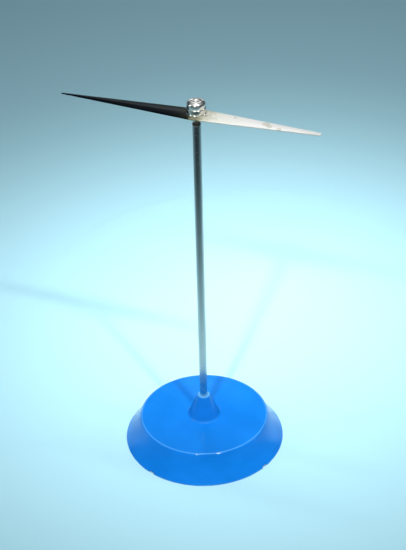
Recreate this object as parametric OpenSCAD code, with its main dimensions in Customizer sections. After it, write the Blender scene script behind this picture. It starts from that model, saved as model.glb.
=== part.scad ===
// Demonstration compass needle, balanced on a point on top of a plated stem with a moulded foot.
// The origin is on the stem's axis, in the plane that the foot rests on. +Z points up the stem.
// The needle lies along X, with its sharp north end at -X and its blunt south end at +X.

/* [Foot] */
// Diameter of the foot where it rests
foot_d = 100; // [94:1:120]
// Diameter of the foot's flat top
foot_top_d = 80; // [66:1:82]
// Height of the foot's flat top
foot_h = 17; // [15:0.5:22]
// Wall thickness of the moulding
foot_wall = 2.4; // [2:0.1:3]
// How far the flared side curves inwards between its edges
flare_sag = 0.65; // [0.1:0.05:1.2]
// Height of the upright edge round the rim
rim_h = 0.7; // [0.4:0.1:1.5]
// Radius of the rounded edge between the flared side and the flat top
shoulder_r = 1.4; // [0.8:0.1:2.5]
// Width of the small notches in the rim
notch_w = 4; // [2:0.5:8]
// Height of the notches
notch_h = 1.3; // [0.5:0.1:2.5]
// Depth of the notches, measured in from the rim
notch_depth = 1.6; // [0.8:0.1:2]
// Direction of the first notch, anticlockwise from +X
notch_angle = -20; // [-40:1:-10]
// Thickness of the four ribs under the flat top
rib_t = 1.8; // [1.2:0.1:3]
// Height of the ribs' lower edge above the resting plane
rib_z = 5; // [4:0.5:9]

/* [Boss] */
// Diameter of the conical boss where it meets the flat top
boss_d = 20; // [16:0.5:26]
// Diameter of the boss at its upper rim
boss_top_d = 7.8; // [7:0.1:9]
// Height of the boss's upper rim
boss_top_z = 32.5; // [28:0.5:40]
// Radius of the fillet round the boss's foot
boss_fillet_r = 2; // [1:0.1:3]
// Diameter of the socket under the foot that the nut pulls against
socket_d = 14; // [13:0.5:18]
// Height of the socket's lower face
socket_z = 8; // [7.5:0.5:9]

/* [Stem] */
// Diameter of the stem
stem_d = 4.76; // [4.5:0.02:5]
// Height of the top of the stem, with its pivot seat
stem_top_z = 223; // [150:1:260]
// Length of the thinner threaded foot inside the boss and below it
thread_len = 10.5; // [10:0.5:12]
// Diameter of the threaded foot
thread_d = 4; // [3.6:0.1:4]
// Diameter of the washer under the socket
washer_d = 10; // [9:0.5:12]
// Thickness of the washer
washer_t = 0.8; // [0.5:0.1:1]
// Width of the nut across its flats
nut_af = 7; // [6.5:0.5:8]
// Height of the nut
nut_h = 3.2; // [2.2:0.1:3.2]

/* [Pivot] */
// Height of the black seat's collar on top of the stem
seat_h = 1; // [0.6:0.1:2]
// Diameter of the seat's spigot inside the stem
seat_spigot_d = 3; // [2.6:0.1:3.4]
// Length of the seat's spigot
seat_spigot_len = 9; // [8:0.5:14]
// Diameter of the pivot pin
pin_d = 1.6; // [1.4:0.1:1.8]
// Length of the pin inside the seat
pin_grip = 7; // [6:0.5:8]
// Height of the pin's point above the top of the stem
point_rise = 10.4; // [10.3:0.1:10.7]
// Length of the pin's tapered point
point_len = 4; // [3.5:0.5:5]
// Radius of the tip of the point
tip_r = 0.1; // [0.06:0.02:0.2]

/* [Needle] */
// Length of the needle from the point to its sharp north tip
north_len = 83; // [60:0.5:110]
// Length of the needle from the point to its blunt south end
south_len = 72; // [50:0.5:85]
// Width of the needle at the point
needle_w = 13.6; // [12:0.2:20]
// Thickness of the needle's sheet steel
needle_t = 0.7; // [0.5:0.1:1.2]
// Height of the needle's upper face above the top of the stem
needle_rise = 5.3; // [5.1:0.1:5.5]
// Width of the flat left on the sharp north tip
north_tip_w = 0.3; // [0.2:0.1:0.8]

/* [Hub] */
// Diameter of the cap at its foot and shoulder
cap_d = 11.3; // [11.1:0.1:12]
// Diameter of the cap's waist, just above its flange
cap_waist_d = 10.9; // [10.6:0.1:11]
// Height of the cap above the needle
cap_h = 8.3; // [8.3:0.1:9]
// Height of the flange round the cap's foot
cap_flange_h = 0.8; // [0.5:0.1:1.2]
// Radius of the cap's rounded shoulder
cap_shoulder_r = 2.2; // [1.6:0.1:2.4]
// Diameter of the cap's tubular rivet, which passes through the needle
rivet_d = 7; // [6.8:0.1:7.4]
// Diameter of the bore that lets the pin into the cap
cap_bore_d = 5.2; // [5:0.1:5.4]
// Thickness of the washer under the needle
hub_washer_t = 0.6; // [0.4:0.1:0.8]
// Diameter of the washer under the needle
hub_washer_d = 9.4; // [9:0.1:10]
// Height of the rivet's spread edge below the washer
rivet_edge_h = 0.4; // [0.3:0.1:0.6]
// Diameter of the jewel
jewel_d = 4.4; // [4.2:0.1:4.6]
// Height of the jewel
jewel_h = 3; // [2.8:0.1:3.2]
// Depth of the jewel's conical cup
cup_depth = 2.1; // [1.9:0.1:2.2]
// Diameter of the cup's mouth
cup_mouth_d = 3.8; // [3.4:0.1:3.9]
// Height of the ring that holds the jewel in
bezel_h = 1; // [0.8:0.1:1.2]
// Gap between the point and the cup that it turns in
point_gap = 0.04; // [0.02:0.01:0.08]

/* [Hidden] */

$fn = 96;
arc_steps = 6;
eps = 0.01;

// Foot
foot_r = foot_d / 2;
foot_top_r = foot_top_d / 2;
flare_dir = [foot_top_r - foot_r, foot_h - rim_h] / norm([foot_top_r - foot_r, foot_h - rim_h]);
flare_wall = foot_wall / flare_dir[1];
ceiling_z = foot_h - foot_wall;
stem_hole_d = stem_d + 0.04;
thread_hole_d = thread_d + 0.2;
boss_chamfer = 0.5;

// Stem
thread_bottom_z = socket_z - washer_t - nut_h - 1;
shoulder_z = thread_bottom_z + thread_len;
stem_end_z = stem_top_z - seat_h;
stem_chamfer = 0.25;

// Pivot: the point's tip is a small ball, and the needle rocks about its centre.
point_z = stem_top_z + point_rise;
tip_z = point_z - tip_r;
pin_clearance = 0.03;

// Needle: the south end's width balances the two halves about the point.
south_end_w = ((needle_w + 2 * north_tip_w) * pow(north_len / south_len, 2) - needle_w) / 2;
needle_top_z = stem_top_z + needle_rise;
needle_z = needle_top_z - needle_t;

// Hub
cap_top_z = needle_top_z + cap_h;
rivet_bottom_z = needle_z - hub_washer_t - rivet_edge_h;
cup_tip_r = tip_r + point_gap;
cup_top_z = tip_z + cup_tip_r;
jewel_z = cup_top_z - cup_depth;
top_ring_d = 6;
ring_step = 0.2;
dimple_d = 3.6;
dimple_depth = 0.3;
waist_sag = 0.1;

// Points on an arc about [x, y], from angle a to angle b.
function arc(x, y, r, a, b, steps = arc_steps) =
    [for (i = [0:steps]) [x + r * cos(a + (b - a) * i / steps), y + r * sin(a + (b - a) * i / steps)]];

// Points from p to q along a shallow curve whose middle is sag away from the straight line.
function bow(p, q, sag, steps = 8) =
    let (n = [-(q - p)[1], (q - p)[0]] / norm(q - p))
    [for (i = [0:steps]) p + (q - p) * i / steps + n * sag * 4 * (i / steps) * (1 - i / steps)];

// Half section of the foot's outside, from the rim up to the stem.
function foot_outline() =
    let (
        flare_a = atan2(-flare_dir[0], flare_dir[1]),
        shoulder_c = [foot_top_r - shoulder_r * tan(45 - flare_a / 2), foot_h - shoulder_r],
        boss_dir = [boss_d - boss_top_d, 2 * (foot_h - boss_top_z)] / norm([boss_d - boss_top_d,
            2 * (foot_h - boss_top_z)]),
        boss_a = atan2(boss_dir[0], -boss_dir[1]),
        fillet_c = [boss_d / 2 + boss_fillet_r * tan(45 - boss_a / 2), foot_h + boss_fillet_r]
    )
    concat(
        [[0, 0], [foot_r, 0]],
        bow([foot_r, rim_h], shoulder_c + shoulder_r * [cos(flare_a), sin(flare_a)], flare_sag),
        arc(shoulder_c[0], shoulder_c[1], shoulder_r, flare_a + 10, 90),
        arc(fillet_c[0], fillet_c[1], boss_fillet_r, 270, 180 + boss_a),
        [
            [boss_top_d / 2, boss_top_z - boss_chamfer],
            [boss_top_d / 2 - boss_chamfer, boss_top_z],
            [0, boss_top_z]
        ]
    );

module foot_hollow() {
    rotate_extrude()
        polygon([
            [0, -eps],
            [foot_r - flare_wall, -eps],
            [foot_r - flare_wall, 0],
            [foot_r - flare_wall + flare_dir[0] / flare_dir[1] * ceiling_z, ceiling_z],
            [0, ceiling_z]
        ]);
}

// Four ribs between the side wall and the socket. They leave room for the nut and its washer.
module foot_ribs() {
    difference() {
        intersection() {
            foot_hollow();
            for (a = [0, 90])
                rotate([0, 0, a])
                    translate([-foot_r, -rib_t / 2, rib_z])
                        cube([foot_d, rib_t, foot_h - rib_z]);
        }
        translate([0, 0, -eps])
            cylinder(d = socket_d - 1, h = socket_z + eps);
    }
}

module foot_notches() {
    for (i = [0:3])
        rotate([0, 0, notch_angle + 90 * i])
            translate([foot_r - notch_depth, -notch_w / 2, -eps])
                cube([notch_depth + eps, notch_w, notch_h + eps]);
}

module base_shell() {
    color("dodgerblue")
        difference() {
            union() {
                difference() {
                    rotate_extrude() polygon(foot_outline());
                    foot_hollow();
                    foot_notches();
                }
                foot_ribs();
                translate([0, 0, socket_z])
                    cylinder(d = socket_d, h = foot_h - socket_z);
            }
            translate([0, 0, shoulder_z])
                cylinder(d = stem_hole_d, h = boss_top_z);
            translate([0, 0, socket_z - eps])
                cylinder(d = thread_hole_d, h = foot_h);
        }
}

module stem() {
    color("silver")
        difference() {
            rotate_extrude()
                polygon([
                    [0, thread_bottom_z],
                    [thread_d / 2 - stem_chamfer, thread_bottom_z],
                    [thread_d / 2, thread_bottom_z + stem_chamfer],
                    [thread_d / 2, shoulder_z],
                    [stem_d / 2, shoulder_z],
                    [stem_d / 2, stem_end_z - stem_chamfer],
                    [stem_d / 2 - stem_chamfer, stem_end_z],
                    [0, stem_end_z]
                ]);
            translate([0, 0, stem_end_z - seat_spigot_len])
                cylinder(d = seat_spigot_d, h = seat_spigot_len + eps);
        }
}

module ring(outer_d, inner_d, z, h) {
    translate([0, 0, z])
        difference() {
            cylinder(d = outer_d, h = h);
            translate([0, 0, -eps])
                cylinder(d = inner_d, h = h + 2 * eps);
        }
}

module stem_washer() {
    color("lightgray")
        ring(washer_d, thread_d, socket_z - washer_t, washer_t);
}

// Hexagon nut with its outer corners chamfered by a cone.
module stem_nut() {
    corner_d = nut_af / cos(30);
    nut_z = socket_z - washer_t - nut_h;
    color("gainsboro")
        difference() {
            intersection() {
                translate([0, 0, nut_z])
                    cylinder(d = corner_d, h = nut_h, $fn = 6);
                translate([0, 0, nut_z])
                    cylinder(d1 = nut_af, d2 = nut_af + 2 * nut_h * 1.7, h = nut_h);
            }
            translate([0, 0, nut_z - eps])
                cylinder(d = thread_d, h = nut_h + 2 * eps);
        }
}

// Black seat on top of the stem: a collar as wide as the stem, with a spigot pressed into it.
module pivot_seat() {
    color("black")
        difference() {
            rotate_extrude()
                polygon([
                    [0, stem_end_z - seat_spigot_len],
                    [seat_spigot_d / 2, stem_end_z - seat_spigot_len],
                    [seat_spigot_d / 2, stem_end_z],
                    [stem_d / 2 - stem_chamfer, stem_end_z],
                    [stem_d / 2, stem_end_z + stem_chamfer],
                    [stem_d / 2, stem_top_z - stem_chamfer],
                    [stem_d / 2 - stem_chamfer, stem_top_z],
                    [0, stem_top_z]
                ]);
            translate([0, 0, stem_top_z - pin_grip])
                cylinder(d = pin_d + 2 * pin_clearance, h = pin_grip + eps);
        }
}

module pivot_pin() {
    taper_a = atan2(pin_d / 2 - tip_r, point_len);
    color("dimgray")
        rotate_extrude()
            polygon(concat(
                [
                    [0, stem_top_z - pin_grip],
                    [pin_d / 2, stem_top_z - pin_grip],
                    [pin_d / 2, point_z - point_len]
                ],
                arc(0, tip_z, tip_r, taper_a, 90, 2)
            ));
}

module needle_blade() {
    color("lightsteelblue")
        translate([0, 0, needle_z])
            difference() {
                linear_extrude(height = needle_t)
                    polygon([
                        [-north_len, -north_tip_w / 2],
                        [0, -needle_w / 2],
                        [south_len, -south_end_w / 2],
                        [south_len, south_end_w / 2],
                        [0, needle_w / 2],
                        [-north_len, north_tip_w / 2]
                    ]);
                translate([0, 0, -eps])
                    cylinder(d = rivet_d, h = needle_t + 2 * eps);
            }
}

// Half section of the cap's outside: spread rivet edge, flange, waist, rounded shoulder,
// ringed top and a small dimple in the middle.
function cap_outline() =
    let (
        cap_r = cap_d / 2,
        waist_r = cap_waist_d / 2,
        shoulder_bottom_z = cap_top_z - cap_shoulder_r,
        flange_r = cap_flange_h / 2,
        flange_end_a = acos((waist_r - cap_r + flange_r) / flange_r)
    )
    concat(
        [
            [0, rivet_bottom_z],
            [rivet_d / 2 + rivet_edge_h, rivet_bottom_z],
            [rivet_d / 2 + rivet_edge_h, rivet_bottom_z + rivet_edge_h],
            [rivet_d / 2, rivet_bottom_z + rivet_edge_h],
            [rivet_d / 2, needle_top_z]
        ],
        arc(cap_r - flange_r, needle_top_z + flange_r, flange_r, -90, flange_end_a),
        bow([waist_r, needle_top_z + cap_flange_h], [cap_r, shoulder_bottom_z], waist_sag),
        arc(cap_r - cap_shoulder_r, shoulder_bottom_z, cap_shoulder_r, 10, 90),
        [
            [top_ring_d / 2, cap_top_z],
            [top_ring_d / 2 - ring_step, cap_top_z - ring_step],
            [dimple_d / 2, cap_top_z - ring_step],
            [dimple_d / 2 - dimple_depth, cap_top_z - ring_step - dimple_depth],
            [0, cap_top_z - ring_step - dimple_depth]
        ]
    );

module hub_cap() {
    color("whitesmoke")
        difference() {
            rotate_extrude() polygon(cap_outline());
            translate([0, 0, rivet_bottom_z - eps])
                cylinder(d = cap_bore_d, h = jewel_z - rivet_bottom_z + eps);
            translate([0, 0, rivet_bottom_z])
                cylinder(d = jewel_d, h = jewel_z + jewel_h - rivet_bottom_z);
        }
}

module hub_washer() {
    color("goldenrod")
        ring(hub_washer_d, rivet_d, needle_z - hub_washer_t, hub_washer_t);
}

// Jewel with a conical cup in its underside, rounded at its deepest point about the tip's centre.
module jewel_cup() {
    cup_a = atan2(cup_mouth_d / 2 - cup_tip_r, cup_depth);
    color("saddlebrown")
        rotate_extrude()
            polygon(concat(
                [
                    [cup_mouth_d / 2, jewel_z],
                    [jewel_d / 2, jewel_z],
                    [jewel_d / 2, jewel_z + jewel_h],
                    [0, jewel_z + jewel_h]
                ],
                arc(0, tip_z, cup_tip_r, 90, cup_a, 2)
            ));
}

module jewel_bezel() {
    color("gold")
        ring(cap_bore_d, cup_mouth_d, jewel_z - bezel_h, bezel_h);
}

base_shell();
stem();
stem_washer();
stem_nut();
pivot_seat();
pivot_pin();
needle_blade();
hub_cap();
hub_washer();
jewel_cup();
jewel_bezel();
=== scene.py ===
"""Looks of the demonstration compass needle: a lozenge on a point, with a plated stem and a moulded foot.

Shapes are written in millimetres and turned into metres as each mesh is made. Everything is in the part's
own frame: the stem along +Z, the needle's blunt south end towards +X, the foot resting on z = 0.
"""

import math

import bmesh
import bpy
from mathutils import Matrix, Vector


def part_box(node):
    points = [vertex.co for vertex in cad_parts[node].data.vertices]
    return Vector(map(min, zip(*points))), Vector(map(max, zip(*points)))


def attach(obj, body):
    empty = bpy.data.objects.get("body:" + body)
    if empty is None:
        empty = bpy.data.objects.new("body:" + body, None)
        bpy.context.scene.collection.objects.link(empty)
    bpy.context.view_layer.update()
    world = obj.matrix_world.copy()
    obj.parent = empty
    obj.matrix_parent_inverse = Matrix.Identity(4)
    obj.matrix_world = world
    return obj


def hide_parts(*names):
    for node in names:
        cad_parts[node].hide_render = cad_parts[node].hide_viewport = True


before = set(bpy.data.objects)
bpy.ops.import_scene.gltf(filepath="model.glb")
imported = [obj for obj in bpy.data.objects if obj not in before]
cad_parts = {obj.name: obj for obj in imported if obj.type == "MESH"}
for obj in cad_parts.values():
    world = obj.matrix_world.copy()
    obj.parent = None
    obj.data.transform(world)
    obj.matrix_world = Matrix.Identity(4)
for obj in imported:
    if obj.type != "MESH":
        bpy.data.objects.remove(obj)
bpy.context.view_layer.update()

MM = 0.001
ROUND = 96
TAU = 2 * math.pi


# ---------------------------------------------------------------- shapes

def box_mm(node):
    """Lowest and highest corner of a CAD node, in millimetres."""
    low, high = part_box(node)
    return [value / MM for value in low], [value / MM for value in high]


def arc(centre, radius, start, end, steps=6):
    """Points on an arc about centre, from angle start to angle end, in degrees."""
    points = []
    for i in range(steps + 1):
        a = math.radians(start + (end - start) * i / steps)
        points.append((centre[0] + radius * math.cos(a), centre[1] + radius * math.sin(a)))
    return points


def bow(first, last, sag, steps=16):
    """Points along a shallow curve whose middle is sag away from the straight line."""
    step = Vector(last) - Vector(first)
    side = Vector((-step.y, step.x)).normalized()
    points = []
    for i in range(steps + 1):
        t = i / steps
        points.append(tuple(Vector(first) + step * t + side * sag * 4 * t * (1 - t)))
    return points


def rounded(corners, steps=5):
    """A half section from corners (r, z, radius), each corner rounded to its radius. The last corner is a
    neighbour of the first, so the end corners of a run that stays open take a radius of 0."""
    points = []
    for i, (x, y, radius) in enumerate(corners):
        here = Vector((x, y))
        if not radius:
            points.append((x, y))
            continue
        before = (Vector(corners[i - 1][:2]) - here).normalized()
        after = (Vector(corners[(i + 1) % len(corners)][:2]) - here).normalized()
        half = before.angle(after) / 2
        centre = here + (before + after).normalized() * radius / math.sin(half)
        first = here + before * radius / math.tan(half) - centre
        last = here + after * radius / math.tan(half) - centre
        turn = first.angle_signed(last)
        for k in range(steps + 1):
            spoke = first.copy()
            spoke.rotate(Matrix.Rotation(-turn * k / steps, 2))
            points.append(tuple(centre + spoke))
    return points


def make_object(name, mesh, material, sharp=35):
    """A smooth-shaded object whose edges stay sharp where its faces meet at more than sharp degrees."""
    mesh.shade_smooth()
    mesh.set_sharp_from_angle(angle=math.radians(sharp))
    mesh.materials.clear()
    mesh.materials.append(material)
    piece = bpy.data.objects.new(name, mesh)
    bpy.context.scene.collection.objects.link(piece)
    return piece


def loft(rings):
    """A mesh through closed rings of points, in millimetres. A ring of one point closes the end there;
    with no such end, the last ring joins the first."""
    shape = bmesh.new()
    made = [[shape.verts.new(Vector(point) * MM) for point in ring] for ring in rings]
    pairs = list(zip(made, made[1:]))
    if len(made[0]) > 1:
        pairs.append((made[-1], made[0]))
    for low, high in pairs:
        count = max(len(low), len(high))
        for i in range(count):
            j = (i + 1) % count
            if len(low) == 1:
                shape.faces.new((low[0], high[i], high[j]))
            elif len(high) == 1:
                shape.faces.new((low[i], high[0], low[j]))
            else:
                shape.faces.new((low[i], high[i], high[j], low[j]))
    bmesh.ops.recalc_face_normals(shape, faces=shape.faces)
    mesh = bpy.data.meshes.new("loft")
    shape.to_mesh(mesh)
    shape.free()
    return mesh


def ring_at(radius, z, segments=ROUND):
    """One ring of points about the stem's axis, or one point on it where the radius is 0."""
    if radius == 0:
        return [(0, 0, z)]
    return [(radius * math.cos(TAU * i / segments), radius * math.sin(TAU * i / segments), z)
            for i in range(segments)]


def lathe(section, segments=ROUND):
    """A mesh turned about the stem's axis from a half section of (r, z) points."""
    return loft([ring_at(r, z, segments) for r, z in section])


def boolean(mesh, operation, tools):
    """The mesh after each tool mesh has been joined to it or cut from it."""
    body = bpy.data.objects.new("body", mesh)
    bpy.context.scene.collection.objects.link(body)
    holders = []
    for tool in tools:
        holder = bpy.data.objects.new("tool", tool)
        bpy.context.scene.collection.objects.link(holder)
        holders.append(holder)
        modifier = body.modifiers.new("cut", "BOOLEAN")
        modifier.operation = operation
        modifier.solver = "EXACT"
        modifier.object = holder
    result = bpy.data.meshes.new_from_object(body.evaluated_get(bpy.context.evaluated_depsgraph_get()))
    for holder in [body, *holders]:
        bpy.data.objects.remove(holder)
    return result


def block(corners, height, angle, bevel):
    """A bevelled prism over corners (x, y) with z from height[0] to height[1], turned by angle degrees."""
    shape = bmesh.new()
    turn = Matrix.Rotation(math.radians(angle), 4, "Z")
    low = [shape.verts.new(turn @ Vector((x, y, height[0])) * MM) for x, y in corners]
    high = [shape.verts.new(turn @ Vector((x, y, height[1])) * MM) for x, y in corners]
    shape.faces.new(low)
    shape.faces.new(high)
    for i in range(len(corners)):
        j = (i + 1) % len(corners)
        shape.faces.new((low[i], low[j], high[j], high[i]))
    bmesh.ops.bevel(shape, geom=list(shape.edges), offset=bevel * MM, segments=3, profile=0.5, affect="EDGES")
    bmesh.ops.recalc_face_normals(shape, faces=shape.faces)
    mesh = bpy.data.meshes.new("block")
    shape.to_mesh(mesh)
    shape.free()
    return mesh


# ---------------------------------------------------------------- materials

def set_stops(color_ramp, stops):
    """Gives a colour ramp its stops of (position, colour), lowest first."""
    elements = color_ramp.elements
    while len(elements) < len(stops):
        elements.new(0.5)
    for element, (position, colour) in zip(elements, stops):
        element.position = position
        element.color = (*colour, 1)


class Finish:
    """A node material around one Principled shader, with short ways to add the nodes that finishes share."""

    def __init__(self, name, **sockets):
        self.material = bpy.data.materials.new(name)
        self.material.use_nodes = True
        self.tree = self.material.node_tree
        self.shader = self.tree.nodes["Principled BSDF"]
        self.place = self.tree.nodes.new("ShaderNodeTexCoord").outputs["Object"]
        for socket, value in sockets.items():
            self.shader.inputs[socket.replace("_", " ")].default_value = value

    def node(self, kind, **settings):
        made = self.tree.nodes.new(kind)
        for key, value in settings.items():
            setattr(made, key, value)
        return made

    def feed(self, socket, value):
        """Links value to a socket if it is another socket, or sets it."""
        if isinstance(value, bpy.types.NodeSocket):
            self.tree.links.new(value, socket)
        else:
            socket.default_value = value

    def stretched(self, scale):
        """Object coordinates in millimetres, multiplied by scale along each axis."""
        mapping = self.node("ShaderNodeMapping")
        self.feed(mapping.inputs["Vector"], self.place)
        mapping.inputs["Scale"].default_value = [value / MM for value in scale]
        return mapping.outputs["Vector"]

    def noise(self, per_mm, detail=3.0, roughness=0.55, distortion=0.0):
        """Noise with per_mm features to the millimetre, as one number or one for each axis."""
        scale = per_mm if isinstance(per_mm, tuple) else (per_mm,) * 3
        made = self.node("ShaderNodeTexNoise")
        self.feed(made.inputs["Vector"], self.stretched(scale))
        made.inputs["Scale"].default_value = 1.0
        made.inputs["Detail"].default_value = detail
        made.inputs["Roughness"].default_value = roughness
        made.inputs["Distortion"].default_value = distortion
        return made.outputs["Fac"]

    def axis(self, name):
        """One coordinate of the place, in millimetres."""
        made = self.node("ShaderNodeSeparateXYZ")
        self.feed(made.inputs["Vector"], self.stretched((1, 1, 1)))
        return made.outputs[name]

    def radius(self, centre=(0.0, 0.0, 0.0)):
        """Distance in millimetres from the stem's axis, or from another upright axis, through centre."""
        made = self.node("ShaderNodeVectorMath", operation="DISTANCE")
        self.feed(made.inputs[0], self.stretched((1, 1, 0)))
        made.inputs[1].default_value = centre
        return made.outputs["Value"]

    def math(self, operation, first, second=0.0):
        made = self.node("ShaderNodeMath", operation=operation)
        self.feed(made.inputs[0], first)
        self.feed(made.inputs[1], second)
        return made.outputs["Value"]

    def remap(self, value, low, high, to_low=0.0, to_high=1.0):
        """Value between low and high, turned smoothly into to_low to to_high."""
        made = self.node("ShaderNodeMapRange", interpolation_type="SMOOTHSTEP")
        self.feed(made.inputs["Value"], value)
        limits = {"From Min": low, "From Max": high, "To Min": to_low, "To Max": to_high}
        for socket, number in limits.items():
            self.feed(made.inputs[socket], number)
        return made.outputs["Result"]

    def ramp(self, value, stops):
        """Colour from stops of (position, colour)."""
        made = self.node("ShaderNodeValToRGB")
        set_stops(made.color_ramp, stops)
        self.feed(made.inputs["Fac"], value)
        return made.outputs["Color"]

    def blend(self, amount, first, second):
        """Colour or socket first where amount is 0, second where it is 1."""
        made = self.node("ShaderNodeMix", data_type="RGBA")
        self.feed(made.inputs["Factor"], amount)
        for socket, value in zip((made.inputs[6], made.inputs[7]), (first, second)):
            self.feed(socket, (*value, 1) if isinstance(value, tuple) else value)
        return made.outputs[2]

    def bump(self, height, depth, under=None):
        """Normal from a height of 0 to 1 that stands for depth millimetres."""
        made = self.node("ShaderNodeBump")
        self.feed(made.inputs["Height"], height)
        made.inputs["Distance"].default_value = depth * MM
        made.inputs["Strength"].default_value = 1.0
        if under is not None:
            self.feed(made.inputs["Normal"], under)
        return made.outputs["Normal"]

    def set(self, **sockets):
        """Links or sets each named input of the shader, and gives the material."""
        for socket, value in sockets.items():
            self.feed(self.shader.inputs[socket.replace("_", " ")], value)
        return self.material


def foot_plastic():
    """Glossy bright blue plastic, with the faint ripple of moulding, fine scuffs and dust, and painted
    highlights: the colour is paler round the top of the boss, along the crease and along the resting rim."""
    finish = Finish("foot_plastic", IOR=1.45, Specular_IOR_Level=0.35)
    flow = finish.noise((0.05, 0.05, 0.1), detail=2.0)
    colour = finish.blend(finish.remap(flow, 0.3, 0.7), (0.003, 0.172, 0.640), (0.005, 0.195, 0.710))
    scuffs = finish.noise((0.35, 4.0, 1.0), detail=4.0, roughness=0.7, distortion=0.6)
    marks = finish.remap(scuffs, 0.62, 0.7)
    dust = finish.remap(finish.noise(2.2, detail=5.0, roughness=0.75), 0.70, 0.78, 0.0, 0.35)
    gloss = finish.math("ADD", finish.remap(finish.noise(0.12, detail=3.0), 0.3, 0.7, 0.06, 0.13),
                        finish.math("MULTIPLY", marks, 0.10))
    ripple = finish.bump(finish.noise(0.45, detail=2.0), 0.012)
    grain = finish.bump(finish.noise(5.0, detail=3.0), 0.0012, under=ripple)
    height = finish.axis("Z")
    across = finish.radius()
    # Painted highlights: paler colour at the top of the boss, along the crease and along the resting rim
    # stands in for light caught on those edges.
    band = finish.math("MULTIPLY", finish.remap(across, 39.1, 39.4),
                       finish.remap(across, 39.6, 40.0, 0.4, 0.0))
    painted_boss_rim_highlight = finish.remap(height, 31.6, 32.4, 0.0, 0.60)
    crease = finish.math("MULTIPLY", band, finish.remap(height, 15.0, 16.0))
    painted_rim_highlight = finish.remap(height, 0.4, 1.0, 0.30, 0.0)
    for amount in (painted_boss_rim_highlight, crease, painted_rim_highlight):
        colour = finish.blend(amount, colour, (0.16, 0.50, 0.86))
    colour = finish.blend(dust, colour, (0.30, 0.50, 0.80))
    return finish.set(Base_Color=colour, Roughness=gloss, Normal=grain)


def stem_plating():
    """Bright nickel on drawn rod: faint lines along the rod, soft rings from polishing, a few dull spots."""
    finish = Finish("stem_plating", Metallic=1.0)
    drawn = finish.noise((3.0, 3.0, 0.04), detail=4.0, roughness=0.65)
    rings = finish.noise((0.3, 0.3, 1.6), detail=5.0, roughness=0.7)
    spots = finish.remap(finish.noise(0.7, detail=5.0, roughness=0.7), 0.63, 0.72)
    colour = finish.blend(finish.remap(drawn, 0.35, 0.65), (0.52, 0.54, 0.53), (0.66, 0.68, 0.67))
    gloss = finish.math("ADD", finish.remap(rings, 0.35, 0.65, 0.15, 0.25),
                        finish.math("MULTIPLY", spots, 0.22))
    lines = finish.bump(drawn, 0.006)
    return finish.set(Base_Color=finish.blend(spots, colour, (0.40, 0.39, 0.35)), Roughness=gloss,
                      Normal=finish.bump(rings, 0.003, under=lines))


def zinc_steel():
    """Bright zinc plate with a faint yellow and blue cast."""
    finish = Finish("zinc_steel", Metallic=1.0)
    cast = finish.noise(0.5, detail=3.0)
    fine = finish.noise(6.0, detail=4.0)
    colour = finish.ramp(cast, [
        (0.3, (0.60, 0.63, 0.68)), (0.55, (0.66, 0.67, 0.66)), (0.75, (0.68, 0.65, 0.54)),
    ])
    return finish.set(Base_Color=colour, Roughness=finish.remap(fine, 0.3, 0.7, 0.26, 0.42),
                      Normal=finish.bump(fine, 0.006))


def black_seat():
    """Black oxide over turned steel, rubbed a little towards grey."""
    finish = Finish("black_seat", Specular_IOR_Level=0.5)
    turned = finish.noise((0.3, 0.3, 9.0), detail=3.0)
    rubbed = finish.remap(finish.noise(1.6, detail=4.0, roughness=0.7), 0.58, 0.75)
    return finish.set(Base_Color=finish.blend(rubbed, (0.006, 0.006, 0.007), (0.030, 0.030, 0.032)),
                      Roughness=finish.remap(turned, 0.3, 0.7, 0.30, 0.45), Normal=finish.bump(turned, 0.006))


def pin_steel():
    """Hardened steel, ground round its point."""
    finish = Finish("pin_steel", Metallic=1.0)
    ground = finish.noise((0.4, 0.4, 18.0), detail=4.0)
    heat = finish.noise(0.6, detail=2.0)
    colour = finish.blend(finish.remap(heat, 0.3, 0.7), (0.33, 0.34, 0.36), (0.40, 0.37, 0.33))
    return finish.set(Base_Color=colour, Roughness=finish.remap(ground, 0.3, 0.7, 0.20, 0.36),
                      Normal=finish.bump(ground, 0.006))


def needle_steel():
    """Sheet steel, blued nearly black on the north half and bright on the south half, with olive and straw
    mottling where the two meet at the hub, and a few small stains."""
    finish = Finish("needle_steel")
    along = finish.axis("X")
    drift = finish.math("SUBTRACT", finish.noise(0.28, detail=5.0, roughness=0.7), 0.5)
    speck = finish.math("SUBTRACT", finish.noise(1.3, detail=4.0, roughness=0.75), 0.5)
    ragged = finish.math("ADD", finish.math("MULTIPLY", drift, 20.0), finish.math("MULTIPLY", speck, 16.0))
    place = finish.remap(finish.math("ADD", along, ragged), -40.0, 40.0)
    colour = finish.ramp(place, [
        (0.00, (0.004, 0.010, 0.019)), (0.26, (0.005, 0.012, 0.018)), (0.38, (0.014, 0.020, 0.014)),
        (0.46, (0.060, 0.065, 0.040)), (0.53, (0.220, 0.230, 0.150)), (0.60, (0.430, 0.445, 0.350)),
        (0.72, (0.700, 0.715, 0.660)), (1.00, (0.780, 0.790, 0.780)),
    ])
    for x, y, size in ((40.5, 1.2, 2.0), (43.0, -0.8, 1.6), (49.0, -2.2, 1.3), (22.0, 3.0, 0.9)):
        edge = finish.math("ADD", finish.radius((x, y, 0.0)),
                           finish.math("MULTIPLY", finish.noise(0.9, detail=4.0), 1.6))
        stain = finish.remap(edge, size * 0.8 + 0.8, size * 1.4 + 0.8, 0.45, 0.0)
        colour = finish.blend(stain, colour, (0.36, 0.36, 0.26))
    bright = finish.remap(place, 0.40, 0.62)
    lines = finish.noise((0.05, 5.0, 5.0), detail=4.0, roughness=0.7)
    gloss = finish.math("ADD", finish.remap(lines, 0.3, 0.7, 0.24, 0.36),
                        finish.math("MULTIPLY", bright, 0.12))
    return finish.set(Base_Color=colour, Metallic=finish.remap(bright, 0.0, 1.0, 1.0, 0.55), Roughness=gloss,
                      Normal=finish.bump(lines, 0.004, under=finish.bump(finish.noise(0.15), 0.02)))


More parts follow.
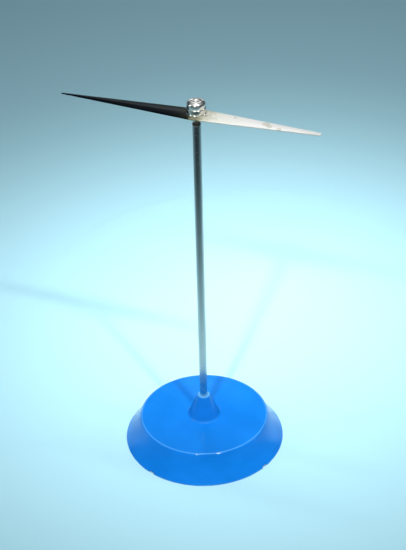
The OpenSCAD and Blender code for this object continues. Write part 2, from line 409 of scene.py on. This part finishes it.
def cap_plating():
    """Mirror nickel on turned brass, with faint tool rings and a little haze."""
    finish = Finish("cap_plating", Metallic=1.0)
    rings = finish.node("ShaderNodeTexNoise", noise_dimensions="1D")
    finish.feed(rings.inputs["W"], finish.math("ADD", finish.radius(), finish.axis("Z")))
    rings.inputs["Scale"].default_value = 9.0
    rings.inputs["Detail"].default_value = 3.0
    haze = finish.noise(0.5, detail=4.0, roughness=0.65)
    colour = finish.blend(finish.remap(haze, 0.4, 0.7), (0.86, 0.87, 0.87), (0.76, 0.76, 0.73))
    return finish.set(Base_Color=colour, Roughness=finish.remap(haze, 0.35, 0.7, 0.03, 0.10),
                      Normal=finish.bump(rings.outputs["Fac"], 0.004))


def hub_brass():
    """Turned brass, dulled in patches."""
    finish = Finish("hub_brass", Metallic=1.0)
    turned = finish.noise((0.5, 0.5, 10.0), detail=3.0)
    dull = finish.noise(0.7, detail=5.0, roughness=0.7)
    colour = finish.ramp(dull, [
        (0.30, (0.78, 0.56, 0.24)), (0.60, (0.66, 0.45, 0.18)), (0.80, (0.36, 0.22, 0.09)),
    ])
    return finish.set(Base_Color=colour, Roughness=finish.remap(dull, 0.35, 0.75, 0.22, 0.48),
                      Normal=finish.bump(turned, 0.006))


def jewel():
    """Polished agate with faint bands."""
    finish = Finish("jewel", IOR=1.54, Subsurface_Weight=0.2, Subsurface_Scale=0.001)
    bands = finish.noise((0.4, 0.4, 2.2), detail=4.0, distortion=1.2)
    colour = finish.ramp(bands, [
        (0.30, (0.20, 0.05, 0.02)), (0.50, (0.42, 0.14, 0.05)), (0.70, (0.60, 0.30, 0.14)),
    ])
    return finish.set(Base_Color=colour, Roughness=finish.remap(bands, 0.3, 0.7, 0.06, 0.14),
                      Normal=finish.bump(finish.noise(3.0), 0.002))


def floor_finish():
    """Plain pale cyan card with a faint grain."""
    finish = Finish("floor", Specular_IOR_Level=0.06)
    tone = finish.noise(0.004, detail=2.0)
    colour = finish.blend(tone, (0.39, 0.69, 0.81), (0.41, 0.71, 0.83))
    grain = finish.noise(1.2, detail=4.0)
    return finish.set(Base_Color=colour, Roughness=finish.remap(grain, 0.3, 0.7, 0.55, 0.75),
                      Normal=finish.bump(grain, 0.02))


# ---------------------------------------------------------------- foot

FOOT_TOP_R = 40.0
FOOT_TOP_Z = 17.0
FLARE_REACH = 10.0
FLARE_SAG = 0.65
LIP_H = 0.7
LIP_ROUND = 0.3
CREASE_ROUND = 1.4
BOSS_R = 10.0
BOSS_TOP_R = 3.9
BOSS_FILLET = 2.0
CEILING_Z = FOOT_TOP_Z - 2.4
WALL_FOOT_R = 47.18
WALL_TOP_R = 38.22
WALL_SLOPE = 0.6135
SOCKET_Z = 8.0
SHOULDER_Z = 13.5
STEM_R = 2.38
RIB_START_R = 6.4
RIB_LOW_Z = 5.0
RIB_HIGH_Z = 15.2
RIB_LOW_HALF = 0.75
RIB_HIGH_HALF = 0.95
RIB_BITE = 0.6
NOTCH_ANGLE = -20
NOTCH_R = 48.4
NOTCH_OUT_R = 52
NOTCH_HALF = 2
NOTCH_H = 1.3
EDGE_BEVEL = 0.35


def foot_outside(rim_r, boss_top):
    """The foot's outer line, from its resting edge up the flare and in to the foot of the boss."""
    line = arc((rim_r - LIP_ROUND, LIP_ROUND), LIP_ROUND, 270, 360, 5)
    lean = math.atan2(FLARE_REACH, FOOT_TOP_Z - LIP_H)
    tuck = math.tan(math.radians(45) - lean / 2)
    shoulder = (FOOT_TOP_R - CREASE_ROUND * tuck, FOOT_TOP_Z - CREASE_ROUND)
    flare_end = (shoulder[0] + CREASE_ROUND * math.cos(lean), shoulder[1] + CREASE_ROUND * math.sin(lean))
    boss_lean = math.atan2(BOSS_R - BOSS_TOP_R, boss_top - FOOT_TOP_Z)
    fillet = (BOSS_R + BOSS_FILLET * math.tan(math.radians(45) - boss_lean / 2), FOOT_TOP_Z + BOSS_FILLET)
    line += bow((rim_r, LIP_H), flare_end, FLARE_SAG)
    line += arc(shoulder, CREASE_ROUND, math.degrees(lean) + 8, 90, 8)
    line += arc(fillet, BOSS_FILLET, 270, 180 + math.degrees(boss_lean), 8)
    return line


def foot_section():
    """Half section of the foot, from its resting edge round the outside and back underneath."""
    rim_r = box_mm("base_shell")[1][0]
    boss_top = box_mm("base_shell")[1][2]
    bore_r = STEM_R + 0.04
    outside = foot_outside(rim_r, boss_top)
    top = rounded([(*outside[-1], 0), (BOSS_TOP_R, boss_top - 0.5, 0.35), (3.45, boss_top, 0.35),
                   (bore_r, boss_top, 0.12), (bore_r, SHOULDER_Z, 0)])
    under = rounded([(2.1, SHOULDER_Z, 0), (2.1, SOCKET_Z, 0.15), (6.8, SOCKET_Z, 0.4), (7.0, CEILING_Z, 0.8),
                     (WALL_TOP_R, CEILING_Z, 1.2), (WALL_FOOT_R, 0, 0.25), (rim_r, 0, 0)])[:-1]
    return outside + top[1:] + under


def foot_rib(angle):
    """A drafted rib under the flat top, from the socket to the side wall."""
    shape = bmesh.new()
    low_r, high_r = [WALL_FOOT_R + RIB_BITE - WALL_SLOPE * z for z in (RIB_LOW_Z, RIB_HIGH_Z)]
    turn = Matrix.Rotation(math.radians(angle), 4, "Z")
    corners = [(RIB_START_R, RIB_LOW_Z, RIB_LOW_HALF), (low_r, RIB_LOW_Z, RIB_LOW_HALF),
               (high_r, RIB_HIGH_Z, RIB_HIGH_HALF), (RIB_START_R, RIB_HIGH_Z, RIB_HIGH_HALF)]
    left = [shape.verts.new(turn @ Vector((x, half, z)) * MM) for x, z, half in corners]
    right = [shape.verts.new(turn @ Vector((x, -half, z)) * MM) for x, z, half in corners]
    shape.faces.new(left)
    shape.faces.new(right)
    for i in range(4):
        j = (i + 1) % 4
        shape.faces.new((left[i], left[j], right[j], right[i]))
    lower = [edge for edge in shape.edges if all(vert.co.z < (RIB_LOW_Z + 0.1) * MM for vert in edge.verts)]
    bmesh.ops.bevel(shape, geom=lower, offset=EDGE_BEVEL * MM, segments=3, profile=0.5, affect="EDGES")
    bmesh.ops.recalc_face_normals(shape, faces=shape.faces)
    mesh = bpy.data.meshes.new("rib")
    shape.to_mesh(mesh)
    shape.free()
    return mesh


def build_foot():
    quarters = (0, 90, 180, 270)
    shell = boolean(lathe(foot_section(), segments=192), "UNION", [foot_rib(angle) for angle in quarters])
    notch = [(NOTCH_R, -NOTCH_HALF), (NOTCH_OUT_R, -NOTCH_HALF),
             (NOTCH_OUT_R, NOTCH_HALF), (NOTCH_R, NOTCH_HALF)]
    cutters = [block(notch, (-2, NOTCH_H), NOTCH_ANGLE + angle, EDGE_BEVEL) for angle in quarters]
    return make_object("foot_moulding", boolean(shell, "DIFFERENCE", cutters), foot_plastic(), sharp=32)


# ---------------------------------------------------------------- stem and pivot

THREAD_CORE = 1.62
THREAD_OUTER = 1.98
THREAD_PITCH = 0.7
THREAD_TOP_Z = SHOULDER_Z - 0.4
RINGS_PER_PITCH = 8
SPIGOT_LEN = 9
SPIGOT_BORE_R = 1.5
PIN_GRIP = 7
PIN_R = 0.8


def threaded_ring(z, bottom):
    """One ring of a right-handed thread, chamfered at its bottom end."""
    ring = []
    for i in range(ROUND):
        a = TAU * i / ROUND
        phase = (z / THREAD_PITCH - a / TAU) % 1.0
        flank = min(1.0, max(0.0, abs(phase - 0.5) * 2.6 - 0.15))
        chamfer = THREAD_CORE - 0.25 + (z - bottom) * 1.2
        r = min(THREAD_OUTER + (THREAD_CORE - THREAD_OUTER) * flank, chamfer)
        ring.append((r * math.cos(a), r * math.sin(a), z))
    return ring


def build_stem():
    low, high = box_mm("stem")
    bottom, top = low[2], high[2]
    rings = [ring_at(0, bottom)]
    steps = round((THREAD_TOP_Z - bottom) / (THREAD_PITCH / RINGS_PER_PITCH))
    for i in range(steps + 1):
        rings.append(threaded_ring(bottom + (THREAD_TOP_Z - bottom) * i / steps, bottom))
    rod = rounded([(THREAD_CORE, THREAD_TOP_Z, 0), (THREAD_CORE, SHOULDER_Z, 0), (STEM_R, SHOULDER_Z, 0.12),
                   (STEM_R, top, 0.22), (SPIGOT_BORE_R, top, 0.05), (SPIGOT_BORE_R, top - SPIGOT_LEN, 0),
                   (0, top - SPIGOT_LEN, 0)])
    rings += [ring_at(r, z) for r, z in rod[1:]]
    return make_object("stem_rod", loft(rings), stem_plating())


def build_washer():
    low, high = box_mm("stem_washer")
    section = rounded([(2.02, low[2], 0.08), (high[0], low[2], 0.12), (high[0], high[2], 0.28),
                       (2.02, high[2], 0.08)])
    return make_object("washer", lathe(section), zinc_steel())


NUT_ROUND = 2 * ROUND


def hexagon(radius_cap, across, z, rise=0.0):
    """A ring that follows a hexagon's sides, cut off at radius_cap, and lifted by rise where it is wider."""
    ring = []
    for i in range(NUT_ROUND):
        a = TAU * i / NUT_ROUND
        side = across / 2 / math.cos((a + math.pi / 6) % (math.pi / 3) - math.pi / 6)
        r = min(side, radius_cap)
        ring.append((r * math.cos(a), r * math.sin(a), z + rise * (r - across / 2)))
    return ring


def build_nut():
    low, high = box_mm("stem_nut")
    across = 2 * high[1]
    chamfer = math.tan(math.radians(30))
    circle = [(2.45, low[2]), (2.0, low[2] + 0.4), (2.0, high[2] - 0.4), (2.45, high[2])]
    rings = [ring_at(r, z, NUT_ROUND) for r, z in circle]
    rings.append(hexagon(across / 2 - 0.1, across, high[2]))
    rings.append(hexagon(across, across, high[2] - 0.05, -chamfer))
    rings.append(hexagon(across, across, low[2] + 0.05, chamfer))
    rings.append(hexagon(across / 2 - 0.1, across, low[2]))
    return make_object("nut", loft(rings), zinc_steel(), sharp=28)


def build_seat():
    low, high = box_mm("pivot_seat")
    top = high[2]
    collar = top - 1.0
    bore_r = PIN_R + 0.03
    section = rounded([
        (0, low[2], 0), (1.45, low[2], 0.2), (1.47, collar, 0), (STEM_R - 0.1, collar, 0.08),
        (STEM_R, collar + 0.14, 0.05), (STEM_R, top, 0.3), (1.5, top, 0.1), (1.25, top - 0.12, 0.05),
        (0.86, top - 0.12, 0.04), (bore_r, top - 0.3, 0), (bore_r, top - PIN_GRIP, 0), (0, top - PIN_GRIP, 0),
    ])
    return make_object("pivot_seat_collar", lathe(section), black_seat())


def build_pin():
    low, high = box_mm("pivot_pin")
    point_len, tip = 4.0, 0.1
    point = high[2] - point_len
    lean = math.degrees(math.atan2(PIN_R - tip, point_len))
    section = [(0, low[2]), (PIN_R - 0.15, low[2]), (PIN_R, low[2] + 0.2), (PIN_R, point - 0.05),
               (PIN_R - 0.01, point + 0.03)]
    section += arc((0, high[2] - tip), tip, lean, 90, 6)[:-1] + [(0, high[2])]
    return make_object("pivot_point", lathe(section), pin_steel())


# ---------------------------------------------------------------- needle and hub

HOLE_R = 3.5
RIVET_R = HOLE_R + 0.4
JEWEL_R = 2.2
BEZEL_R = 2.6
UNDER_CAP_R = 5.2


def blade_ring(inset, z, low, high, waist, north, south):
    """The needle's outline drawn in by inset, always with the same number of points on each side."""
    corners = [(high[0], -south / 2), (high[0], south / 2), (0, waist / 2), (low[0], north / 2),
               (low[0], -north / 2), (0, -waist / 2)]
    moved = []
    for i, corner in enumerate(corners):
        here = Vector(corner)
        before = (here - Vector(corners[i - 1])).normalized()
        after = (Vector(corners[(i + 1) % 6]) - here).normalized()
        normals = [Vector((-side.y, side.x)) for side in (before, after)]
        middle = (normals[0] + normals[1]).normalized()
        moved.append(here + middle * inset / middle.dot(normals[0]))
    ring = []
    for i, steps in enumerate((4, 44, 44, 2, 44, 44)):
        first, last = moved[i], moved[(i + 1) % 6]
        ring += [(*first.lerp(last, k / steps), z) for k in range(steps)]
    return ring


def build_blade():
    low, high = box_mm("needle_blade")
    waist = 2 * high[1]
    north = 0.3
    south = ((waist + 2 * north) * (low[0] / high[0]) ** 2 - waist) / 2
    bottom, top = low[2], high[2]
    edge = 0.10

    def outline(inset, z):
        return blade_ring(inset, z, low, high, waist, north, south)

    def hole(z, radius):
        return [(radius * math.cos(a), radius * math.sin(a), z)
                for a in (math.atan2(y, x) for x, y, _ in outline(0.0, z))]

    rings = [hole(bottom, HOLE_R), hole(top, HOLE_R), hole(top, UNDER_CAP_R)]
    rings += [outline(edge, top), outline(edge * 0.3, top - edge * 0.3), outline(0.0, top - edge)]
    rings += [outline(0.0, bottom + edge), outline(edge * 0.3, bottom + edge * 0.3), outline(edge, bottom)]
    rings += [hole(bottom, UNDER_CAP_R)]
    return make_object("needle", loft(rings), needle_steel(), sharp=25)


def build_cap():
    """The cap: a flange on the blade, a second ledge, a rounded shoulder and a turned, hollowed top."""
    low, high = box_mm("hub_cap")
    bottom, top, flange_r = low[2], high[2], high[0]
    face = box_mm("needle_blade")[1][2]
    jewel_low, jewel_top = [corner[2] for corner in box_mm("jewel_cup")]
    bezel_top = jewel_low - 0.02
    shoulder_r, shoulder_round = 5.42, 2.1
    inside = rounded([
        (0, jewel_top, 0), (JEWEL_R, jewel_top, 0.1), (JEWEL_R, bezel_top, 0), (BEZEL_R, bezel_top, 0),
        (BEZEL_R, bottom, 0.1), (RIVET_R, bottom, 0.15), (RIVET_R, bottom + 0.4, 0.1),
        (HOLE_R, bottom + 0.4, 0), (HOLE_R, face, 0),
    ])
    outside = rounded([
        (HOLE_R, face, 0), (flange_r, face, 0.3), (flange_r, face + 1.40, 0.60), (5.30, face + 1.50, 0.12),
        (5.48, face + 2.0, 0.3), (5.58, face + 4.45, 0.55), (5.10, face + 4.60, 0.1), (5.26, face + 5.3, 0),
    ])[1:]
    outside += arc((shoulder_r - shoulder_round, top - shoulder_round), shoulder_round, 4, 84, 16)
    outside += rounded([(3.30, top, 0), (3.05, top, 0.12), (2.90, top - 0.28, 0.1), (1.9, top - 0.32, 0.1),
                        (1.75, top - 0.18, 0.15), (0.9, top - 0.15, 0.2), (0.7, top - 0.4, 0.15),
                        (0, top - 0.4, 0)])
    return make_object("hub", lathe(inside + outside, segments=128), cap_plating(), sharp=40)


def build_hub_washer():
    low, high = box_mm("hub_washer")
    section = rounded([(HOLE_R, low[2], 0), (high[0], low[2], 0.15), (high[0], high[2], 0.08),
                       (HOLE_R, high[2], 0)])
    return make_object("needle_washer", lathe(section), hub_brass())


def build_jewel():
    low, high = box_mm("jewel_cup")
    tip = box_mm("pivot_pin")[1][2] - 0.1
    cup_round, mouth_r, cup_depth = 0.14, 1.9, 2.1
    lean = math.degrees(math.atan2(mouth_r - cup_round, cup_depth))
    cup = arc((0, tip), cup_round, 90, lean, 6)
    outer_r, bottom, top = JEWEL_R - 0.01, low[2], high[2] - 0.01
    section = [(0, tip + cup_round)] + cup[1:] + [(1.85, bottom + 0.06), (1.95, bottom)]
    section += rounded([(1.95, bottom, 0), (outer_r, bottom, 0.08), (outer_r, top, 0.25), (0, top, 0)])[1:]
    return make_object("jewel_bearing", lathe(section), jewel())


def build_bezel():
    low, high = box_mm("jewel_bezel")
    hole_r, outer_r, top = 1.9, BEZEL_R - 0.01, high[2] - 0.02
    section = rounded([(hole_r, low[2] + 0.5, 0), (2.25, low[2], 0.06), (outer_r, low[2], 0.1),
                       (outer_r, top, 0), (hole_r, top, 0)])
    return make_object("jewel_ring", lathe(section), hub_brass())


# ---------------------------------------------------------------- studio

CAMERA_AZIMUTH = 22.4
CAMERA_PLACE = (0.0, -0.6956, 0.5786)
CAMERA_PITCH = 33.29
CAMERA_YAW = -0.12
CAMERA_ROLL = -1.44
CAMERA_LENS = 91.6


def turned(place):
    """A place in front of the camera, turned into the part's frame."""
    return Matrix.Rotation(math.radians(CAMERA_AZIMUTH), 4, "Z") @ Vector(place)


def build_camera():
    data = bpy.data.cameras.new("camera")
    data.lens = CAMERA_LENS
    data.sensor_width = 36.0
    data.clip_start = 0.01
    data.clip_end = 20.0
    camera = bpy.data.objects.new("camera", data)
    turn = Matrix.Rotation(math.radians(CAMERA_AZIMUTH + CAMERA_YAW), 4, "Z")
    tilt = Matrix.Rotation(math.radians(90 - CAMERA_PITCH), 4, "X")
    roll = Matrix.Rotation(math.radians(CAMERA_ROLL), 4, "Z")
    camera.matrix_world = Matrix.Translation(turned(CAMERA_PLACE)) @ turn @ tilt @ roll
    bpy.context.scene.collection.objects.link(camera)
    bpy.context.scene.camera = camera


def add_light(name, place, power, aim, **settings):
    """An area lamp. Its place and its aim are given as seen from the front, and turned with the camera."""
    data = bpy.data.lights.new(name, "AREA")
    data.energy = power
    for key, value in settings.items():
        setattr(data, key, value)
    lamp = bpy.data.objects.new(name, data)
    lamp.location = turned(place)
    lamp.rotation_euler = (turned(aim) - lamp.location).to_track_quat("-Z", "Y").to_euler()
    bpy.context.scene.collection.objects.link(lamp)
    return lamp


def build_world():
    """A dim room, a little brighter at the horizon and brightest overhead. The ramp runs from the horizon,
    at 0, to straight up, at 1."""
    world = bpy.data.worlds.new("room")
    world.use_nodes = True
    tree = world.node_tree
    place = tree.nodes.new("ShaderNodeTexCoord")
    split = tree.nodes.new("ShaderNodeSeparateXYZ")
    ramp = tree.nodes.new("ShaderNodeValToRGB")
    set_stops(ramp.color_ramp, [
        (0.00, (0.16, 0.22, 0.24)), (0.30, (0.05, 0.06, 0.065)), (0.62, (0.10, 0.11, 0.12)),
        (1.00, (0.42, 0.45, 0.47)),
    ])
    tree.links.new(place.outputs["Generated"], split.inputs["Vector"])
    tree.links.new(split.outputs["Z"], ramp.inputs["Fac"])
    tree.links.new(ramp.outputs["Color"], tree.nodes["Background"].inputs["Color"])
    bpy.context.scene.world = world


def build_floor():
    """A wide floor, a hair under the resting plane."""
    mesh = bpy.data.meshes.new("floor")
    half = 3.0
    corners = [(-half, -half, 0), (half, -half, 0), (half, half, 0), (-half, half, 0)]
    mesh.from_pydata(corners, [], [(0, 1, 2, 3)])
    mesh.materials.append(floor_finish())
    floor = bpy.data.objects.new("floor", mesh)
    floor.location.z = -0.00003
    bpy.context.scene.collection.objects.link(floor)


def build_card():
    """A card lying in front of the stand that only reflections show, its colour painted shade: the floor's
    colour near the stand, darker the farther it is. It stands for dark surroundings in front, which are
    inferred from the dark middle of the photographed stem."""
    mesh = bpy.data.meshes.new("card")
    half, far, near_edge = 2, -2, -0.04
    corners = [(-half, far, 0), (half, far, 0), (half, near_edge, 0), (-half, near_edge, 0)]
    mesh.from_pydata(corners, [], [(0, 1, 2, 3)])
    finish = Finish("card", Specular_IOR_Level=0.1, Roughness=0.8)
    # Painted shade: the card darkens away from the stand, standing in for the dimming light in front that the
    # metal reflects.
    near = finish.remap(finish.axis("Y"), -480.0, -20.0)
    mesh.materials.append(finish.set(Base_Color=finish.ramp(near, [
        (0.0, (0.09, 0.15, 0.17)), (0.35, (0.26, 0.44, 0.50)), (0.7, (0.27, 0.47, 0.54)),
        (1.0, (0.39, 0.69, 0.81)),
    ])))
    card = bpy.data.objects.new("card", mesh)
    card.location.z = 0.0005
    card.rotation_euler.z = math.radians(CAMERA_AZIMUTH)
    card.visible_camera = card.visible_diffuse = card.visible_shadow = False
    bpy.context.scene.collection.objects.link(card)


def build_lights():
    """Small lamps in narrow beams for the faint shadows and sharp glints, a panel behind for the broad
    reflections, and a spot over the floor behind the stand for its soft pool of light, not seen reflected."""
    hub = (0.0, 0.0, 0.228)
    middle = (0.036, 0.155, 0.0)
    pool_height = 1.0
    for name, place, power, size, spread in (
        ("front_right", (0.385, -0.715, 1.315), 0.80, 0.070, 50),
        ("front_left", (-0.160, -0.515, 0.775), 0.36, 0.040, 50),
        ("above_front", (-0.025, 0.010, 0.700), 0.07, 0.030, 54),
        ("above_back", (-0.010, 0.100, 0.700), 0.07, 0.030, 54),
        ("side_left", (-1.000, -0.120, 0.750), 0.08, 0.060, 40),
        ("side_right", (1.000, 0.060, 0.600), 0.07, 0.060, 40),
    ):
        add_light(name, place, power, middle, shape="DISK", size=size, spread=math.radians(spread),
                  color=(1.0, 0.98, 0.95))
    add_light("panel_back", (0.0, 1.2, 0.70), 0.55, hub, shape="RECTANGLE", size=0.80, size_y=0.16)
    data = bpy.data.lights.new("pool", "SPOT")
    data.energy = 23
    data.shadow_soft_size = 0.12
    data.spot_size = math.radians(31)
    data.spot_blend = 1.0
    pool = bpy.data.objects.new("pool", data)
    pool.location = turned((*middle[:2], pool_height))
    pool.visible_glossy = False
    bpy.context.scene.collection.objects.link(pool)


def build_studio():
    build_camera()
    build_world()
    build_floor()
    build_card()
    build_lights()
    bpy.context.scene.view_settings.view_transform = "Standard"


# ---------------------------------------------------------------- the object

PARTS = (
    (build_foot, "base_shell", "stand", "foot_plastic"),
    (build_stem, "stem", "stand", "stem_plating"),
    (build_washer, "stem_washer", "stand", "zinc_steel"),
    (build_nut, "stem_nut", "stand", "zinc_steel"),
    (build_seat, "pivot_seat", "stand", "black_seat"),
    (build_pin, "pivot_pin", "point", "pin_steel"),
    (build_blade, "needle_blade", "needle", "needle_steel"),
    (build_cap, "hub_cap", "needle", "cap_plating"),
    (build_hub_washer, "hub_washer", "needle", "hub_brass"),
    (build_jewel, "jewel_cup", "needle", "jewel"),
    (build_bezel, "jewel_bezel", "needle", "hub_brass"),
)

build_studio()
for build, node, body, slot in PARTS:
    piece = build()
    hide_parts(node)
    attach(piece, body)
